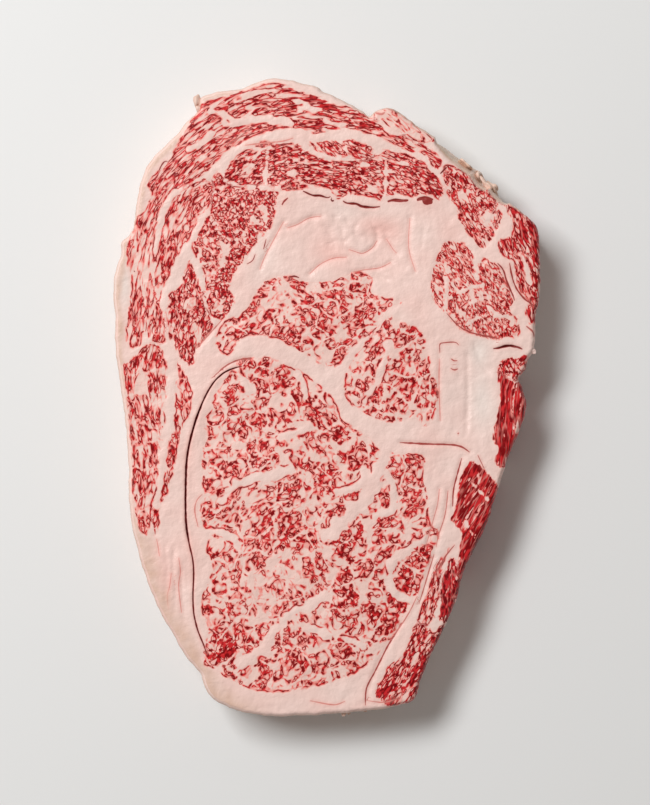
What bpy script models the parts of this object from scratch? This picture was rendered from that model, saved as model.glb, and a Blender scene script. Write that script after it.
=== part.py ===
"""Raw beef rib steak, heavily marbled, as one solid slab of meat.

The steak lies flat: +Z is up, +Y runs along its length towards the shoulder-side rim, and the
origin is on the surface it lies on, under the middle of its bounding box. Every length below is
in millimetres, and the mesh is made in metres.
"""

import math

import bmesh
import bpy
from mathutils import Vector
from mathutils.geometry import delaunay_2d_cdt

MM = 0.001

# Driving sizes
LENGTH = 213.6
WIDTH = 143.4
THICKNESS = 22.0

# The cut's silhouette from above, clockwise from the corner at the upper left
OUTLINE = [
    (-42.6, 100.2), (-39, 101.8), (-34, 102.8), (-29, 103.3), (-24.5, 105.1), (-20, 106.8),
    (-14, 106.4), (-7, 105.1), (-3, 103.9), (-1.3, 102.2), (2, 100.8), (8, 98.1), (12, 95.8),
    (13.9, 94.2), (16, 95.8), (20.3, 97), (25, 95), (30, 91.1), (36, 87.3), (43, 82.8),
    (48, 79.4), (50.8, 77.3), (53, 73.8), (56.2, 72.2), (57.6, 69.8), (60, 66.2), (65, 62.2),
    (69.6, 58.2), (70.9, 54.5), (71.2, 47), (71.5, 39), (71, 32), (69.9, 27), (69.7, 19),
    (69, 15.4), (67.2, 12.5), (66.6, 9.5), (64, 6.5), (65.2, 3.5), (66.5, -1), (66.4, -5),
    (64.2, -11.5), (61, -19), (58.4, -27), (55.8, -35), (53.4, -42), (49.8, -50), (46.6, -56),
    (44.6, -62), (43, -68.5), (39.4, -76.5), (34.8, -86), (31.2, -95), (29, -101.2),
    (24.5, -102.8), (17, -104.5), (7, -105.6), (-8, -106.6), (-19, -106.7), (-27, -105.6),
    (-35, -103), (-39.4, -100.2), (-41.6, -96), (-43.2, -91.8), (-47.5, -86.8), (-53, -77.5),
    (-58, -67.5), (-61.5, -58), (-64.3, -48.5), (-66, -40), (-66.6, -30), (-67, -17),
    (-68.4, -3), (-70.3, 9), (-71.2, 20), (-71.2, 29), (-71.9, 35), (-71.2, 41.5),
    (-69.2, 48), (-68.9, 52), (-66, 55.2), (-64.8, 58.5), (-64, 66), (-62.6, 72),
    (-59.8, 78.4), (-54.5, 84.4), (-50.3, 88.4), (-47.5, 92), (-44.3, 95), (-43, 97.5),
]
OUTLINE_STEPS = 132

# The cut edge: (share of the thickness, how far it lies inside the silhouette)
WALL = [(0.0, 1.3), (0.06, 0.35), (0.25, 0.0), (0.6, 0.0), (0.88, 0.25), (0.97, 0.9)]
RIM_INSET = 1.9

# Along the upper right edge the outer fat slopes out below the cut face
SKIRT_CENTRE = (49.5, 77.0)
SKIRT_REACH = 15.5
SKIRT_WIDTH = 3.6
SKIRT_FOOT = 0.35

# Swellings and hollows of the cut face: centre, half-widths along X and Y, height
SWELLINGS = [
    ((-8, -45), (30, 46), 0.9),
    ((0, 26), (30, 12), 0.4),
    ((-38, 60), (14, 26), 0.3),
    ((50, 36), (12, 14), 0.5),
    ((8, 53), (24, 11), -0.8),
    ((46, 2), (10, 14), -0.9),
]
FACE_STEP = 6.5
FACE_EDGE = 3.2
FADE = 9.0

# The open seam between the eye of the rib and the outer fat
SEAM = [
    (-32, 9.4), (-35.5, 7.6), (-38.4, 4.4), (-40.6, 0.4), (-42.8, -4.6), (-44.8, -10.6),
    (-46.4, -17.6), (-47.2, -25), (-47.4, -33), (-47.2, -41),
]
SEAM_WIDTH = 0.8
SEAM_DEPTH = 3.5
SEAM_STEPS = 4


def catmull_rom(points, steps, closed=True):
    """A smooth curve through the points, with this many steps between each two."""
    count = len(points)
    curve = []
    for i in range(count if closed else count - 1):
        ends = [i - 1, i, i + 1, i + 2]
        if closed:
            a, b, c, d = (Vector(points[k % count]) for k in ends)
        else:
            a, b, c, d = (Vector(points[min(max(k, 0), count - 1)]) for k in ends)
        for k in range(steps):
            t = k / steps
            curve.append(
                0.5 * (2 * b + (c - a) * t + (2 * a - 5 * b + 4 * c - d) * t**2
                       + (3 * b - a - 3 * c + d) * t**3)
            )
    if not closed:
        curve.append(Vector(points[-1]))
    return curve


def evenly(curve, count):
    """A closed curve as this many points, the same distance apart."""
    ends = curve[1:] + curve[:1]
    lengths = [(b - a).length for a, b in zip(curve, ends)]
    step = sum(lengths) / count
    points = []
    along = 0.0
    for a, b, length in zip(curve, ends, lengths):
        while len(points) < count and len(points) * step <= along + length:
            points.append(a.lerp(b, (len(points) * step - along) / length))
        along += length
    return points


def outward(points):
    """The unit normal at each point of a closed outline that runs anticlockwise."""
    normals = []
    for i in range(len(points)):
        along = points[(i + 1) % len(points)] - points[i - 1]
        normals.append(Vector((along.y, -along.x)).normalized())
    return normals


def silhouette():
    """The outline, anticlockwise, centred on the origin and at the driving length and width."""
    points = evenly(catmull_rom(OUTLINE[::-1], 6), OUTLINE_STEPS)
    low = Vector((min(p.x for p in points), min(p.y for p in points)))
    high = Vector((max(p.x for p in points), max(p.y for p in points)))
    middle = (low + high) / 2
    size = high - low
    return [
        Vector(((p.x - middle.x) * WIDTH / size.x, (p.y - middle.y) * LENGTH / size.y))
        for p in points
    ]


def skirt(point, share):
    """How far the upper right edge lies inside the silhouette at this share of the thickness."""
    near = 1 - ((point - Vector(SKIRT_CENTRE)).length / SKIRT_REACH) ** 2
    rise = (share - SKIRT_FOOT) / (1 - SKIRT_FOOT)
    return SKIRT_WIDTH * max(near, 0) ** 0.5 * max(rise, 0)


def ring(points, normals, share, inset):
    """The outline at one height of the cut edge."""
    return [p - n * (inset + skirt(p, share)) for p, n in zip(points, normals)]


def swelling(point):
    """How far the cut face stands above the thickness, from its swellings and hollows."""
    height = 0.0
    for centre, half, rise in SWELLINGS:
        across = (point.x - centre[0]) / half[0]
        along = (point.y - centre[1]) / half[1]
        height += rise * math.exp(-(across**2 + along**2))
    return height


def distance_inside(point, outline):
    """How far a point lies inside a closed outline, or a negative distance outside it."""
    inside = False
    nearest = math.inf
    for a, b in zip(outline, outline[1:] + outline[:1]):
        along = b - a
        share = min(max((point - a).dot(along) / along.length_squared, 0), 1)
        nearest = min(nearest, (point - a - along * share).length)
        if (a.y > point.y) != (b.y > point.y):
            inside ^= point.x < a.x + along.x * (point.y - a.y) / along.y
    return nearest if inside else -nearest


def face_points(rim):
    """Points over the cut face, on a triangular grid that keeps clear of its rim."""
    points = []
    row = 0
    y = -LENGTH / 2
    while y < LENGTH / 2:
        x = -WIDTH / 2 + FACE_STEP / 2 * (row % 2)
        while x < WIDTH / 2:
            point = Vector((x, y))
            if distance_inside(point, rim) > FACE_EDGE:
                points.append(point)
            x += FACE_STEP
        y += FACE_STEP * math.sqrt(3) / 2
        row += 1
    return points


def make_slab(outline, normals):
    """The slab: its cut edge as rings, a flat underside and a gently swelling cut face."""
    bm = bmesh.new()
    rings = []
    for share, inset in WALL:
        points = ring(outline, normals, share, inset)
        rings.append([bm.verts.new((p.x * MM, p.y * MM, share * THICKNESS * MM)) for p in points])
    count = len(outline)
    for lower, upper in zip(rings, rings[1:]):
        for i in range(count):
            k = (i + 1) % count
            bm.faces.new((lower[i], lower[k], upper[k], upper[i]))
    bm.faces.new(rings[0][::-1])

    rim = ring(outline, normals, 1.0, RIM_INSET)
    places = rim + face_points(rim)
    flat, _, triangles, origins, _, _ = delaunay_2d_cdt(places, [], [list(range(count))], 1, 1e-5)
    face = []
    for point, origin in zip(flat, origins):
        depth = 0.0 if origin[0] < count else distance_inside(point, rim)
        height = THICKNESS + swelling(point) * min(depth / FADE, 1)
        face.append(bm.verts.new((point.x * MM, point.y * MM, height * MM)))
    top = {origin[0]: vert for origin, vert in zip(origins, face)}
    for triangle in triangles:
        bm.faces.new([face[i] for i in triangle])
    for i in range(count):
        k = (i + 1) % count
        bm.faces.new((rings[-1][i], rings[-1][k], top[k], top[i]))
    return finished(bm, "steak")


def make_seam_cutter():
    """A thin upright blade along the seam, pointed at both ends."""
    line = catmull_rom(SEAM, SEAM_STEPS, closed=False)
    low = (THICKNESS - SEAM_DEPTH) * MM
    high = (THICKNESS + SEAM_DEPTH) * MM
    sides = {-1: [], 1: []}
    for i, point in enumerate(line):
        along = line[min(i + 1, len(line) - 1)] - line[max(i - 1, 0)]
        across = Vector((along.y, -along.x)).normalized()
        half = SEAM_WIDTH / 2 * math.sin(math.pi * (i + 0.6) / (len(line) + 0.2)) ** 0.5
        for side in sides:
            sides[side].append(point + across * half * side)
    loop = sides[1] + sides[-1][::-1]
    bm = bmesh.new()
    floor = [bm.verts.new((p.x * MM, p.y * MM, low)) for p in loop]
    made = bmesh.ops.extrude_face_region(bm, geom=[bm.faces.new(floor)])
    raised = [v for v in made["geom"] if isinstance(v, bmesh.types.BMVert)]
    bmesh.ops.translate(bm, vec=(0, 0, high - low), verts=raised)
    cutter = finished(bm, "seam_cutter")
    cutter.hide_render = True
    cutter.display_type = "WIRE"
    return cutter


def finished(bm, name):
    """A bmesh as a smooth-shaded object in the scene, with its faces pointing out."""
    bmesh.ops.recalc_face_normals(bm, faces=bm.faces)
    mesh = bpy.data.meshes.new(name)
    bm.to_mesh(mesh)
    bm.free()
    mesh.shade_smooth()
    made = bpy.data.objects.new(name, mesh)
    bpy.context.scene.collection.objects.link(made)
    return made


def meat_material():
    """Moist marbled beef: between the crimson of the lean and the pale pink of the fat."""
    meat = bpy.data.materials.new("marbled_beef")
    meat.use_nodes = True
    shader = meat.node_tree.nodes["Principled BSDF"]
    shader.inputs["Base Color"].default_value = (0.69, 0.30, 0.26, 1)
    shader.inputs["Roughness"].default_value = 0.45
    shader.inputs["Metallic"].default_value = 0.0
    return meat


def main():
    for obj in list(bpy.data.objects):
        bpy.data.objects.remove(obj)
    outline = silhouette()
    steak = make_slab(outline, outward(outline))
    steak.data.materials.append(meat_material())
    cut = steak.modifiers.new("seam", "BOOLEAN")
    cut.operation = "DIFFERENCE"
    cut.solver = "EXACT"
    cut.object = make_seam_cutter()


main()
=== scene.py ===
import math

import bmesh
import bpy
import numpy as np
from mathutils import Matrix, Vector, noise
from mathutils.geometry import delaunay_2d_cdt


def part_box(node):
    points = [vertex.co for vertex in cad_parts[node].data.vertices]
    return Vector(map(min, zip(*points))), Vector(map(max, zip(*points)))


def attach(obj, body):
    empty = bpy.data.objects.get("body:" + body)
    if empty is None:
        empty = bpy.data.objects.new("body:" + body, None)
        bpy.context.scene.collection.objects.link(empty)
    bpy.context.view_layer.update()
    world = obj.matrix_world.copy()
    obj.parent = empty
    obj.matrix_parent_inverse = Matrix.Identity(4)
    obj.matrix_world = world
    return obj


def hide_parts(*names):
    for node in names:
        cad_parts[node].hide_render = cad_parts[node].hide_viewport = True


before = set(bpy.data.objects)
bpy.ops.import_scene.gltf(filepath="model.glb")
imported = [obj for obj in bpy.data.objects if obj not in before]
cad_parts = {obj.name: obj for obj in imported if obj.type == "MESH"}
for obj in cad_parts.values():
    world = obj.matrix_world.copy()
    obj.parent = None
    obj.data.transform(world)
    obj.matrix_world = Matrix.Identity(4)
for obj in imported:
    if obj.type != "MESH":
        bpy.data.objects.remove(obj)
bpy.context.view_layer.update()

# ------------
# The slice. A boneless rib steak cut straight across the back, so its outline is that of the
# rib roll: a broad cap end, long outer fat down the left and a blunt trimmed end. Lengths are
# in millimetres from the middle of the slice, with the shoulder-side cap towards +Y.

OUTLINE = [
    (-42.6, 100.2), (-39, 101.8), (-34, 102.8), (-29, 103.3), (-24.5, 105.1), (-20, 106.8),
    (-14, 106.4), (-7, 105.1), (-3, 103.9), (-1.3, 102.2), (2, 100.8), (8, 98.1), (12, 95.8),
    (13.9, 94.2), (16, 95.8), (20.3, 97), (25, 95), (30, 91.1), (36, 87.3), (43, 82.8), (48, 79.4),
    (50.8, 77.3), (53, 73.8), (56.2, 72.2), (57.6, 69.8), (60, 66.2), (65, 62.2), (69.6, 58.2),
    (70.9, 54.5), (71.2, 47), (71.5, 39), (71, 32), (69.9, 27), (69.7, 19), (69, 15.4),
    (67.2, 12.5), (66.6, 9.5), (64, 6.5), (65.2, 3.5), (66.5, -1), (66.4, -5), (64.2, -11.5),
    (61, -19), (58.4, -27), (55.8, -35), (53.4, -42), (49.8, -50), (46.6, -56), (44.6, -62),
    (43, -68.5), (39.4, -76.5), (34.8, -86), (31.2, -95), (29, -101.2), (24.5, -102.8),
    (17, -104.5), (7, -105.6), (-8, -106.6), (-19, -106.7), (-27, -105.6), (-35, -103),
    (-39.4, -100.2), (-41.6, -96), (-43.2, -91.8), (-47.5, -86.8), (-53, -77.5), (-58, -67.5),
    (-61.5, -58), (-64.3, -48.5), (-66, -40), (-66.6, -30), (-67, -17), (-68.4, -3), (-70.3, 9),
    (-71.2, 20), (-71.2, 29), (-71.9, 35), (-71.2, 41.5), (-69.2, 48), (-68.9, 52), (-66, 55.2),
    (-64.8, 58.5), (-64, 66), (-62.6, 72), (-59.8, 78.4), (-54.5, 84.4), (-50.3, 88.4), (-47.5, 92),
    (-44.3, 95), (-43, 97.5),
]


def curve(points, step, closed=False):
    """A smooth curve through given points, as points that lie about step apart."""
    points = np.array(points, float)
    if closed:
        points = np.vstack([points[-1:], points, points[:2]])
    else:
        points = np.vstack([2 * points[0] - points[1], points, 2 * points[-1] - points[-2]])
    a, b, c, d = points[:-3], points[1:-2], points[2:-1], points[3:]
    t = np.linspace(0, 1, 12, endpoint=False)[:, None, None]
    fine = 0.5 * (2 * b + (c - a) * t + (2 * a - 5 * b + 4 * c - d) * t**2
                  + (3 * b - a - 3 * c + d) * t**3)
    fine = np.vstack([fine.transpose(1, 0, 2).reshape(-1, 2), c[-1:]])
    along = np.concatenate([[0], np.cumsum(np.linalg.norm(np.diff(fine, axis=0), axis=1))])
    at = np.linspace(0, along[-1], max(int(along[-1] / step), 2) + 1)
    fine = np.stack([np.interp(at, along, fine[:, 0]), np.interp(at, along, fine[:, 1])], axis=1)
    return fine[:-1] if closed else fine


def lumps(places, size, seed=0):
    """Soft noise from about -0.5 to 0.5 at each place, with lumps of about this size in mm."""
    places = np.asarray(places, float) / size + seed * 17.31
    if places.shape[1] == 2:
        places = np.column_stack([places, np.full(len(places), seed * 5.7)])
    return np.array([noise.noise(p) for p in places.tolist()])


# The outline runs anticlockwise, and the knife has left it a little ragged
RIM_STEP = 0.62
outline = curve(OUTLINE, RIM_STEP, closed=True)[::-1]
along_rim = np.roll(outline, -1, axis=0) - np.roll(outline, 1, axis=0)
outwards = np.column_stack([along_rim[:, 1], -along_rim[:, 0]])
outwards /= np.linalg.norm(outwards, axis=1)[:, None]
ragged = 0.28 * lumps(outline, 4.5, 1) + 0.2 * lumps(outline, 1.6, 2)
outline = outline + outwards * (ragged - 0.15)[:, None]

# ------------
# Openings in the cut face. The eye of the rib has come away from the outer fat along one long
# seam, which gapes by under a millimetre, and a few vessels and small seams stand open too.

# Each is its centre line, half its width, its depth and how dark it is painted: painted shade of
# the gap over the red of the meat inside
OPENINGS = [
    # The seam beside the eye, in three lengths, and a small one at the right rim
    ([
        (-28, 10.4), (-31, 9.8), (-34.5, 8.2), (-37.4, 5.6), (-39.6, 2.4), (-41.6, -1.6),
        (-43.2, -5.6), (-44.6, -10), (-45.4, -13),
    ], 0.15, 0.8, 0.7),
    ([
        (-41.2, -0.8), (-43.2, -5.6), (-44.6, -10), (-46, -15.4), (-46.9, -21), (-47.2, -28),
        (-47.3, -36), (-47, -43), (-46, -49),
    ], 0.22, 1, 0.7),
    ([
        (-47.1, -40), (-46.4, -47), (-44.8, -54.5), (-44.6, -60), (-44.8, -66), (-44.5, -72),
        (-43.2, -77.5), (-41.4, -82), (-40, -86),
    ], 0.14, 0.5, 0.62),
    ([
        (54.8, 16.2), (57, 16.5), (60, 17.2), (63, 16.9), (65.4, 15.9),
    ], 0.3, 1, 0.66),
    # Vessels along the muscle that lies on the cap
    ([(-8.6, 69), (-5, 67.4), (-2.5, 67.3), (0, 66.6), (1.4, 67.2)], 0.2, 0.4, 0.7),
    ([
        (4.8, 65.8), (6.5, 64.8), (9.5, 64.6), (11.5, 63.7), (15, 63.4), (18, 63.7),
    ], 0.26, 0.5, 0.64),
    ([(19.6, 65.2), (22, 65.8), (25, 65.6), (27.4, 65.8)], 0.45, 0.5, 0.6),
    ([(29.4, 65.6), (31.4, 66.3), (33.6, 66.3), (35.4, 65.8)], 0.7, 0.5, 0.6),
    ([(31.4, 65.3), (33.4, 65.1), (35.4, 65)], 0.8, 0.4, 0.6),
]
OPENING_STEP = 0.5
openings = [(curve(points, OPENING_STEP), *sizes) for points, *sizes in OPENINGS]

# ------------
# The surface of the slice: a cut face with closer points along the openings, a cut edge in rows
# from the face down to the foot, and a plain underside. The knife's edges have gone soft, and at
# the upper right the outer fat slopes out below the face.

THICKNESS = 22.0
FACE_STEP = 0.66
BASE_STEP = 1.5
OPENING_CLEAR = 0.62
# The rows of the cut edge, as shares of the thickness
ROWS = [
    1, 0.985, 0.96, 0.92, 0.86, 0.78, 0.69, 0.6, 0.51, 0.42, 0.33, 0.24, 0.16, 0.09, 0.04, 0.01, 0,
]
SKIRT_CENTRE = (49.5, 77.0)
SKIRT_REACH = 16.5
SKIRT_WIDTH = 4.2
SKIRT_FOOT = 0.3
TOP_ROUNDING = 1.35
FOOT_ROUNDING = 0.9


def ramp(value, start, end):
    """0 before start and 1 after end, with a soft turn at both."""
    t = np.clip((value - start) / (end - start), 0, 1)
    return t * t * (3 - 2 * t)


def close_to(places, line, reach):
    """Whether each place lies in a box that reaches this far round a line."""
    return ((places > line.min(0) - reach) & (places < line.max(0) + reach)).all(1)


def line_distance(places, line, reach=1000.0, chunk=24, margin=3):
    """For each place its signed distance from a line, up to reach, and how far along it lies.
    Only the places near each chunk of the line are measured."""
    span = np.diff(line, axis=0)
    length = np.linalg.norm(span, axis=1)
    before = np.concatenate([[0], np.cumsum(length)])
    distance = np.full(len(places), float(reach))
    along = np.zeros(len(places))
    for first in range(0, len(span), chunk):
        last = first + chunk
        start, step, size = line[first:-1][:chunk], span[first:last], length[first:last]
        close = np.flatnonzero(close_to(places, start, reach + margin))
        offset = places[close, None] - start
        share = np.clip((offset * step).sum(2) / size**2, 0, 1)
        gap = offset - share[..., None] * step
        square = (gap**2).sum(2)
        near = square.argmin(1)
        rows = np.arange(len(close))
        gap = gap[rows, near]
        side = step[near, 0] * gap[:, 1] - step[near, 1] * gap[:, 0]
        found = np.sqrt(square[rows, near])
        better = found < np.abs(distance[close])
        distance[close[better]] = np.where(side < 0, -found, found)[better]
        along[close[better]] = (before[first + near] + share[rows, near] * size[near])[better]
    return distance, along


def inside(places, loop):
    """Whether each place lies inside a closed loop."""
    within = np.zeros(len(places), bool)
    for a, b in zip(loop, np.roll(loop, -1, axis=0)):
        crosses = (a[1] > places[:, 1]) != (b[1] > places[:, 1])
        if crosses.any():
            rise = (places[crosses, 1] - a[1]) / (b[1] - a[1])
            within[crosses] ^= places[crosses, 0] < a[0] + (b[0] - a[0]) * rise
    return within


def depth_inside(places, loop, reach):
    """How far each place lies inside a closed loop, from -reach outside to reach inside."""
    depth = np.full(len(places), -float(reach))
    near = close_to(places, loop, reach)
    distance = np.abs(line_distance(places[near], np.vstack([loop, loop[:1]]), reach)[0])
    depth[near] = np.clip(np.where(inside(places[near], loop), distance, -distance), -reach, reach)
    return depth


def edge_inset(share):
    """How far the cut edge lies inside the outline at each share of the thickness."""
    near = 1 - (np.linalg.norm(outline - SKIRT_CENTRE, axis=1) / SKIRT_REACH) ** 2
    rise = max((share - SKIRT_FOOT) / (1 - SKIRT_FOOT), 0)
    skirt = SKIRT_WIDTH * np.sqrt(np.maximum(near, 0)) * rise
    top_edge = TOP_ROUNDING * max((share - 0.86) / 0.14, 0) ** 2.6
    foot_edge = FOOT_ROUNDING * max(1 - share / 0.1, 0) ** 2
    return skirt + (top_edge + foot_edge)


def lattice(loop, step, clear):
    """Points of a triangular grid that lie inside a loop and keep clear of it."""
    lowest, highest = loop.min(0), loop.max(0)
    points = []
    for row, y in enumerate(np.arange(lowest[1], highest[1], step * math.sqrt(3) / 2)):
        xs = np.arange(lowest[0] + step / 2 * (row % 2), highest[0], step)
        points.append(np.column_stack([xs, np.full(len(xs), y)]))
    points = np.vstack(points)
    return points[depth_inside(points, loop, clear) >= clear]


def fill(loop, points):
    """Triangles between a loop and the points inside it, numbered loop first."""
    places = [Vector(p) for p in np.vstack([loop, points]).tolist()]
    made = delaunay_2d_cdt(places, [], [list(range(len(loop)))], 1, 1e-6)
    first = [origin[0] for origin in made[3]]
    return np.array([[first[i] for i in triangle] for triangle in made[2]])


rim = outline - outwards * edge_inset(1)[:, None]
foot = outline - outwards * edge_inset(0)[:, None]
face = lattice(rim, FACE_STEP, FACE_STEP * 0.6)
for line, half, depth, dark in openings:
    across = np.gradient(line, axis=0)
    across = np.column_stack([-across[:, 1], across[:, 0]])
    across /= np.linalg.norm(across, axis=1)[:, None]
    face = face[np.abs(line_distance(face, line)[0]) > half + OPENING_CLEAR]
    # Rows of points follow the lips, the walls and the floor of the opening
    for offset in (-half - 0.3, -half, -half * 0.55, 0, half * 0.55, half, half + 0.3):
        face = np.vstack([face, line + across * offset])
base = lattice(foot, BASE_STEP, BASE_STEP * 0.5)

# The cut edge wobbles a little below the face, in upright folds 6 mm wide
rings = []
for share in ROWS:
    inset = edge_inset(share)
    wobble = np.column_stack([outline, np.full(len(outline), share * THICKNESS)])
    inset = inset + 0.5 * lumps(wobble / (1, 1, 2.2), 6, 3) * (1 - share) * ramp(share, 0, 0.15)
    ring = outline - outwards * inset[:, None]
    rings.append(np.column_stack([ring, np.full(len(ring), share * THICKNESS)]))
rings[0][:, :2] = rim
rings[-1][:, :2] = foot

count = len(outline)
walls = count * len(ROWS)
steak = np.vstack([
    *rings,
    np.column_stack([face, np.full(len(face), THICKNESS)]),
    np.column_stack([base, np.zeros(len(base))]),
])
top = fill(rim, face)
top = np.where(top < count, top, top - count + walls)
bottom = fill(foot, base)
bottom = np.where(bottom < count, bottom + walls - count, bottom - count + walls + len(face))
quads = []
for row in range(len(ROWS) - 1):
    upper = row * count + np.arange(count)
    lower = upper + count
    quads.append(np.column_stack([lower, np.roll(lower, -1), np.roll(upper, -1), upper]))
faces = [*top.tolist(), *bottom[:, ::-1].tolist(), *np.vstack(quads).tolist()]
on_face = np.zeros(len(steak), bool)
on_face[:count] = True
on_face[walls:walls + len(face)] = True

# ------------
# The muscles. Fine soft fat grows between the fibres of each muscle and leaves the lean as
# short curly strands. Each muscle has its own run of fibres, size of strand and share of lean,
# and goes right through the slice, leaning a little.

REACH = 6.0
FIBRE_LENGTH = 3.0
COARSE_STRAND = 3.6
MEETING_FAT = 0.15

deep = THICKNESS - steak[:, 2]
# How far the muscles have leaned over at each depth, and how their fibres swirl
lean_over = np.column_stack([
    deep * (0.10 * np.sin(steak[:, 1] / 24) + 0.05),
    deep * (0.09 * np.cos(steak[:, 0] / 19) - 0.04),
])
plan = steak[:, :2] + lean_over
swirl = 1.6 * np.column_stack([np.sin(plan[:, 1] / 9 + 1.1), np.sin(plan[:, 0] / 8 + 0.4)])
lean = np.full(len(steak), -REACH)
weave = np.zeros((len(steak), 3))
strand = np.zeros(len(steak))
shade = np.zeros(len(steak))
bundle = np.ones(len(steak))

CAP_LINE = [
    (52, 62), (44, 70), (32, 79), (15, 86), (-5, 88.5), (-22, 86), (-36, 78), (-47, 66), (-54, 52),
    (-58, 36), (-59.5, 18), (-59.5, 0), (-58.5, -20), (-57, -45), (-54, -70),
]
cap_across, cap_along = line_distance(plan, curve(CAP_LINE, 2))


def muscle(points, cell, stretch, turn, red, dark=0.0):
    """Marks out a muscle: its outline, the size of its strands in mm, how far they are drawn
    out and which way they run in degrees (None follows the cap), and how full and dark they are."""
    depth = depth_inside(plan, curve(points, 1.2, closed=True), REACH)
    here = depth > lean
    # A thin line of fat divides it from a muscle that it touches
    shared = np.where(lean > 0, np.abs(depth - lean) * 0.7 - MEETING_FAT, depth)
    if turn is None:
        across = cap_across + 0.5 * swirl[:, 0]
        along = cap_along + 0.5 * swirl[:, 1]
    else:
        angle = math.radians(turn)
        places = plan + swirl
        along = places @ (math.cos(angle), math.sin(angle))
        across = places @ (-math.sin(angle), math.cos(angle))
    grown = np.column_stack([across / cell, along / (cell * stretch), deep / (cell * FIBRE_LENGTH)])
    # Each muscle starts its pattern somewhere else, but those along the cap share theirs
    weave[here] = grown[here] + (0 if turn is None else len(points) * 3.7)
    strand[here] = red
    bundle[here] = cell / COARSE_STRAND
    shade[here] = dark
    lean[here] = np.minimum(depth, shared)[here]


# The eye of the rib, the long back muscle
muscle([
    (-30, 12.6), (-24, 13.2), (-19, 13.4), (-14, 11), (-9, 8.8), (-4, 5.5), (-0.6, 2), (3, -2),
    (5.4, -7.6), (10.5, -11), (14, -13.5), (17, -16.5), (22, -18.6), (28, -18.6), (32.4, -20),
    (32.2, -27), (33.6, -35), (34.2, -42), (37.4, -44.6), (35.8, -50), (34, -54.6), (31.8, -60),
    (29.8, -66), (27, -69.6), (24.8, -74), (22.6, -79), (18.8, -83), (15, -87.4), (10, -91.4),
    (4, -94), (-3, -96.2), (-10, -97.4), (-18, -98.2), (-25, -97.4), (-31, -94.8), (-36, -92),
    (-41.4, -88.6), (-41.8, -85), (-40.2, -80), (-40.6, -75), (-42.2, -70), (-41.4, -65),
    (-39, -60), (-38.6, -55), (-40.4, -50.4), (-39.4, -46), (-41.4, -42), (-42.6, -38),
    (-41.2, -33), (-41.7, -27), (-42.2, -21), (-40.6, -14), (-40.6, -8), (-38.6, -3), (-37, 2),
    (-33.6, 7),
], 4.2, 1.15, 62, 0.134, 0.25)
# The muscle above the eye, in two lobes
muscle([
    (-37.6, 17), (-36.6, 22), (-34, 25.6), (-27.5, 28.8), (-24.6, 34), (-20, 39.6), (-13, 41),
    (-8, 38.6), (0, 38.8), (8, 41.8), (15, 40.6), (14.4, 35.8), (19, 33.3), (24.8, 32),
    (18.7, 28.2), (15.7, 22.2), (8.4, 17), (4.4, 11.6), (0, 10), (-6.3, 13.7), (-11, 16.3),
    (-18, 19.8), (-28, 20), (-32.5, 14.2),
], 4.1, 1.15, 25, 0.13, 0.25)
muscle([
    (20, 27.3), (26, 25), (31.4, 21.6), (33.6, 16), (35.2, 8), (37.2, 3), (36, -4), (33, -10.4),
    (29, -7.4), (20, -8), (11.2, -4.7), (6.6, -0.7), (5.6, 5), (8.6, 13.2), (13.6, 19.6), (18, 24),
], 3.9, 1.15, 70, 0.14, 0.3)
# The cap of the eye: its paler outer side, its long arm, its bulging corner and its flat top
muscle([
    (-42, 73), (-45, 71.4), (-50.4, 67), (-53, 63), (-54.8, 58), (-56, 52), (-57.2, 46),
    (-58.2, 40), (-58, 34), (-56.6, 31), (-55.4, 33.4), (-54, 37.4), (-52.2, 42), (-50, 46.4),
    (-48, 50.6), (-45, 54.4), (-43, 59), (-40.6, 62), (-37.6, 66), (-36.6, 71),
], 2.6, 3, None, 0.15, 0.15)
muscle([
    (-36.4, 75.8), (-38.6, 72.6), (-39.8, 68), (-38.8, 63), (-40.8, 59), (-43, 54.6), (-45.3, 50.4),
    (-43.8, 47), (-41.8, 43.4), (-40.8, 38), (-41.2, 34), (-40.2, 30), (-38.8, 27), (-36, 25.4),
    (-33.6, 27.4), (-31, 32), (-32.6, 36.6), (-30.6, 42), (-28, 45), (-26.2, 48.6), (-23, 52),
    (-20, 55), (-18.6, 58), (-17.4, 61), (-17, 66), (-15.4, 69.8), (-20, 71.2), (-26, 71.8),
    (-32, 71), (-34.4, 72.8),
], 3.1, 1.5, None, 0.2, 0.5)
muscle([
    (-33.8, 71), (-33.6, 76), (-30.6, 80.2), (-26, 83.3), (-21, 85.4), (-17, 84.4), (-13.4, 85.2),
    (-9, 84), (-7, 80), (-8.8, 74), (-10.2, 69.4), (-15.6, 69), (-21, 70), (-27, 69.6),
], 2.6, 2.6, None, 0.2, 0.6)
muscle([
    (-12, 84), (-8, 82.8), (-4, 80.8), (0, 79.2), (6, 78.8), (13, 79.8), (17, 81.3), (19.4, 82.6),
    (27, 80.8), (31, 79.8), (34.2, 76), (36.8, 73), (38.8, 69.6), (36.6, 65.6), (34, 67.7),
    (29, 66.7), (26, 67.1), (19.6, 67.3), (18.6, 65.3), (15, 66.5), (8, 67.6), (3, 66.3), (0, 69.5),
    (-6, 70.1), (-11, 69.3), (-12, 76),
], 2.6, 2.6, None, 0.22, 0.6)
muscle([
    (-6.2, 84.7), (0, 85.8), (4, 85.3), (8, 86.2), (10.6, 84.8), (14.2, 84.2), (15.8, 81),
    (13, 77.7), (10, 79.1), (5, 80.1), (0, 80.3), (-3.8, 82.2),
], 2.3, 2.4, 150, 0.2, 0.6)
muscle([
    (-46, 45.3), (-48, 41), (-49.2, 37), (-51.2, 35.8), (-53.2, 33.6), (-53.5, 27), (-53, 21),
    (-51, 16.8), (-48.8, 13), (-45.4, 10.4), (-43.5, 12.4), (-43, 16.4), (-40, 20.2), (-38.4, 23.6),
    (-39.5, 27.6), (-41.1, 31.2), (-41.7, 35), (-43, 39), (-44.2, 42),
], 2.5, 2.4, None, 0.2, 0.5)
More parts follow.
